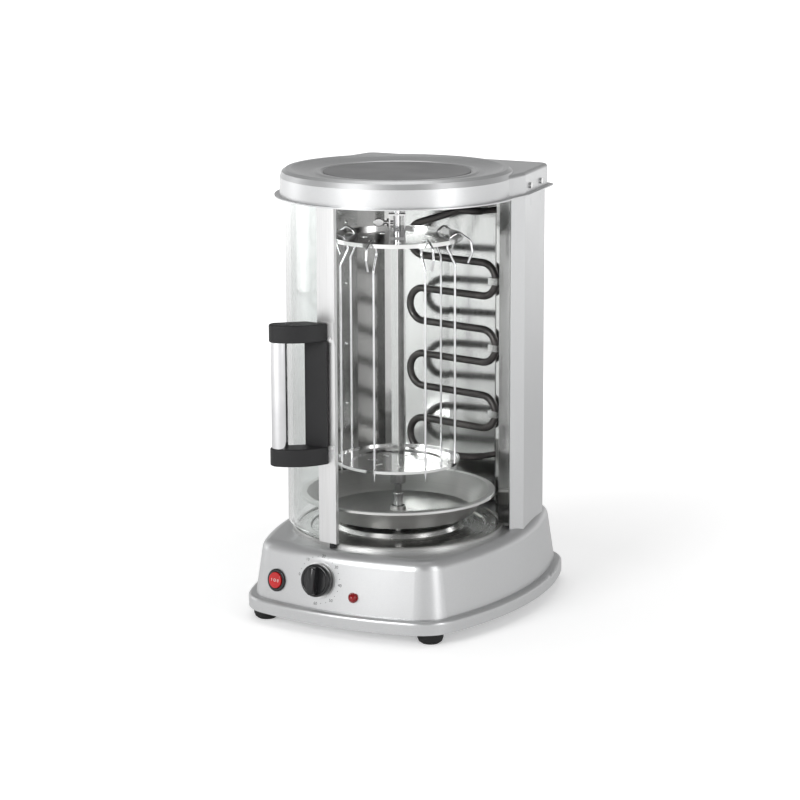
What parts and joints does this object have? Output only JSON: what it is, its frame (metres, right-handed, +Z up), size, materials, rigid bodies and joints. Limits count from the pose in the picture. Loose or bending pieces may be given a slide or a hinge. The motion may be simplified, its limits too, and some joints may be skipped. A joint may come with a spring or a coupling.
{
  "type": "electric skewer grill",
  "caption": "Upright electric skewer grill: round glass chamber with curved sliding door, motor-turned carousel of hanging skewers, serpentine heater, drip pan and bowed base with timer.",
  "frame": {"origin": "Bottom centre of the bounding box, at the level of the soles of the rubber feet.", "axes": "+Z up along the carousel axis direction; the control panel faces -Y; +X is to the right as seen from the front. The carousel axis is upright at x 0, y -0.01675 m."},
  "size_m": [0.284, 0.3384, 0.4595],
  "materials": {
    "silver_paint": "fine metallic silver paint, satin",
    "grey_plate": "dark grey satin paint",
    "zinc_sheet": "dull plated sheet",
    "stainless": "bright rolled stainless sheet",
    "satin_strip": "satin brushed stainless strip",
    "pan_steel": "pressed and polished",
    "chrome": "bright chrome",
    "plated_steel": "bright zinc-plated steel",
    "element_sheath": "heat-darkened steel sheath",
    "clear_glass": "clear tempered glass",
    "ceramic": "white glazed ceramic",
    "black_plastic": "fine-grained black",
    "black_gloss": "smooth black",
    "red_gloss": "translucent red, smooth",
    "red_lens": "translucent red lens",
    "rubber": "moulded black rubber",
    "motor_case": "plain painted steel case",
    "housing_plastic": "natural moulded plastic"
  },
  "bodies": {
    "chassis": {"base_bottom": "zinc_sheet", "base_shell": "silver_paint", "ceiling_plate": "stainless", "chamber_floor": "pan_steel", "cord_gland": "black_plastic", "door_rail": "pan_steel", "element_bar": "stainless", "element_clips": "stainless", "element_insulators": "ceramic", "fixed_glass": "clear_glass", "foot_screws": "plated_steel", "gear_motor": "motor_case", "glass_channel": "stainless", "heating_element": "element_sheath", "lamp_body": "housing_plastic", "lamp_lens": "red_lens", "lid_plate": "grey_plate", "lid_screws": "plated_steel", "lid_shell": "silver_paint", "motor_bracket": "zinc_sheet", "motor_screws": "plated_steel", "rail_posts": "zinc_sheet", "rear_housing": "silver_paint", "reflector": "stainless", "reflector_rivets": "plated_steel", "rubber_feet": "rubber", "switch_body": "black_gloss", "terminal_block": "housing_plastic", "timer_body": "housing_plastic", "timer_ring": "satin_strip", "top_bush": "black_plastic", "upper_rail": "zinc_sheet"},
    "door": {"door_glass": "clear_glass", "door_strip": "satin_strip", "door_guides": "black_plastic", "handle_backplate": "black_plastic", "handle_brackets": "satin_strip", "handle_cap_lower": "black_plastic", "handle_cap_upper": "black_plastic", "handle_screws": "plated_steel", "handle_tube": "chrome"},
    "carousel": {"drive_spindle": "plated_steel", "drive_stem": "plated_steel", "centre_tube": "stainless", "lower_tray": "stainless", "top_disc": "stainless", "top_yoke": "plated_steel"},
    "centre_pin": {"top_pin": "chrome"},
    "pin_lock": {"thumb_screw": "plated_steel"},
    "pan": {"drip_pan": "pan_steel"},
    "rocker": {"power_rocker": "red_gloss"},
    "knob": {"timer_knob": "black_plastic"},
    "spit_1": {"skewer_1": "chrome"},
    "spit_2": {"skewer_2": "chrome"},
    "spit_3": {"skewer_3": "chrome"},
    "spit_4": {"skewer_4": "chrome"},
    "spit_5": {"skewer_5": "chrome"},
    "spit_6": {"skewer_6": "chrome"},
    "spit_7": {"skewer_7": "chrome"}
  },
  "joints": [
    {"name": "door_turn", "type": "hinge", "parent": "chassis", "child": "door", "pos_m": [0, -0.01675, 0], "axis": [0, 0, 1], "range_deg": [0, 111]},
    {"name": "carousel_spin", "type": "hinge", "parent": "chassis", "child": "carousel", "pos_m": [0, -0.01675, 0], "axis": [0, 0, 1], "continuous": true},
    {"name": "pin_drop", "type": "slide", "parent": "carousel", "child": "centre_pin", "axis": [0, 0, 1], "range_m": [-0.012, 0]},
    {"name": "pin_lock_turn", "type": "hinge", "parent": "carousel", "child": "pin_lock", "pos_m": [-0.01236, -0.02332, 0.4029], "axis": [-0.8829, -0.4695, 0], "range_deg": [0, 360]},
    {"name": "pan_lift", "type": "slide", "parent": "chassis", "child": "pan", "axis": [0, 0, 1], "range_m": [0, 0.015]},
    {"name": "rocker_tilt", "type": "hinge", "parent": "chassis", "child": "rocker", "pos_m": [-0.0728, -0.14396, 0.0465], "axis": [0.031, 0.1445, 0.989], "range_deg": [-10, 10]},
    {"name": "timer_turn", "type": "hinge", "parent": "chassis", "child": "knob", "pos_m": [-0.0199, -0.14984, 0.055], "axis": [-0.0569, -0.9874, 0.1478], "range_deg": [-180, 90]},
    {"name": "spit_1_lift", "type": "slide", "parent": "carousel", "child": "spit_1", "axis": [0, 0, 1], "range_m": [0, 0.025]},
    {"name": "spit_2_lift", "type": "slide", "parent": "carousel", "child": "spit_2", "axis": [0, 0, 1], "range_m": [0, 0.025]},
    {"name": "spit_3_lift", "type": "slide", "parent": "carousel", "child": "spit_3", "axis": [0, 0, 1], "range_m": [0, 0.025]},
    {"name": "spit_4_lift", "type": "slide", "parent": "carousel", "child": "spit_4", "axis": [0, 0, 1], "range_m": [0, 0.025]},
    {"name": "spit_5_lift", "type": "slide", "parent": "carousel", "child": "spit_5", "axis": [0, 0, 1], "range_m": [0, 0.025]},
    {"name": "spit_6_lift", "type": "slide", "parent": "carousel", "child": "spit_6", "axis": [0, 0, 1], "range_m": [0, 0.025]},
    {"name": "spit_7_lift", "type": "slide", "parent": "carousel", "child": "spit_7", "axis": [0, 0, 1], "range_m": [0, 0.025]}
  ]
}
